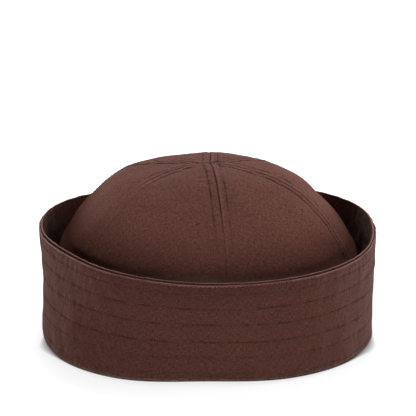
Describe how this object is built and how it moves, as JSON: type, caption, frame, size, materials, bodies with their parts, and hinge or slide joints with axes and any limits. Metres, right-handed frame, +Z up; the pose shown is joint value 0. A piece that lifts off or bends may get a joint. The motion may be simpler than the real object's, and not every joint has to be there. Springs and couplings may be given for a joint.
{
  "type": "sailor cap",
  "caption": "Round sailor cap of brown cotton canvas: a domed crown of wedge panels inside a tall brim that is turned up all the way round and sewn in parallel rows.",
  "frame": {"origin": "on the surface that the cap stands on, under the middle of the brim's outline", "axes": "+Z up through the crown, -Y the front, +X the wearer's left when the front faces forwards"},
  "size_m": [0.2044, 0.1986, 0.103],
  "materials": {
    "brim_canvas": "matte dark brown cotton canvas, sewn in rows round the wall",
    "facing_canvas": "matte dark brown cotton canvas, the reverse of the stitching showing inside the wall",
    "crown_canvas": "matte brown cotton canvas with a topstitched seam between each two panels"
  },
  "bodies": {
    "root": {"brim_outer": "brim_canvas", "brim_facing": "facing_canvas", "crown_front_right": "crown_canvas", "crown_right": "crown_canvas", "crown_back_right": "crown_canvas", "crown_back_left": "crown_canvas", "crown_left": "crown_canvas", "crown_front_left": "crown_canvas"}
  },
  "joints": []
}
